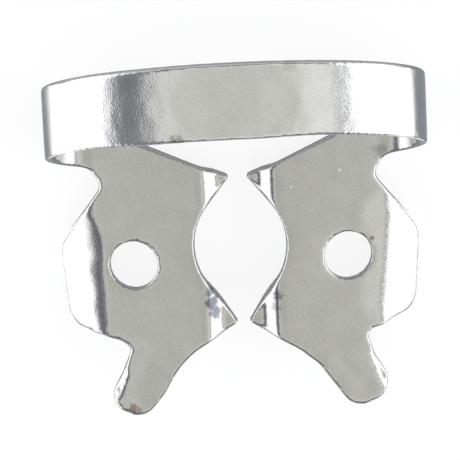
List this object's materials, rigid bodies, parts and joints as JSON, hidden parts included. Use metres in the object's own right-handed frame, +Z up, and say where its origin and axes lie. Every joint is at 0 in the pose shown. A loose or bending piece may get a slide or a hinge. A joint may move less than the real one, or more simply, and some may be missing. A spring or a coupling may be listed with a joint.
{
  "type": "rubber dam clamp",
  "caption": "Winged dental dam clamp stamped from one steel sheet: arched bow, jaws with forceps holes, stepped prongs round a tooth gap, and wings folded down.",
  "frame": {"origin": "centre of the clamp's box at the table it rests on, by the lower edges of its wings and heels", "axes": "+X from the left jaw to the right jaw, +Y from the jaws' lobes back to the bow, +Z up off the table"},
  "size_m": [0.023, 0.0248, 0.0089],
  "materials": {
    "spring_steel": "satin, lightly tumbled"
  },
  "bodies": {
    "root": {"dam_clamp": "spring_steel"}
  },
  "joints": []
}
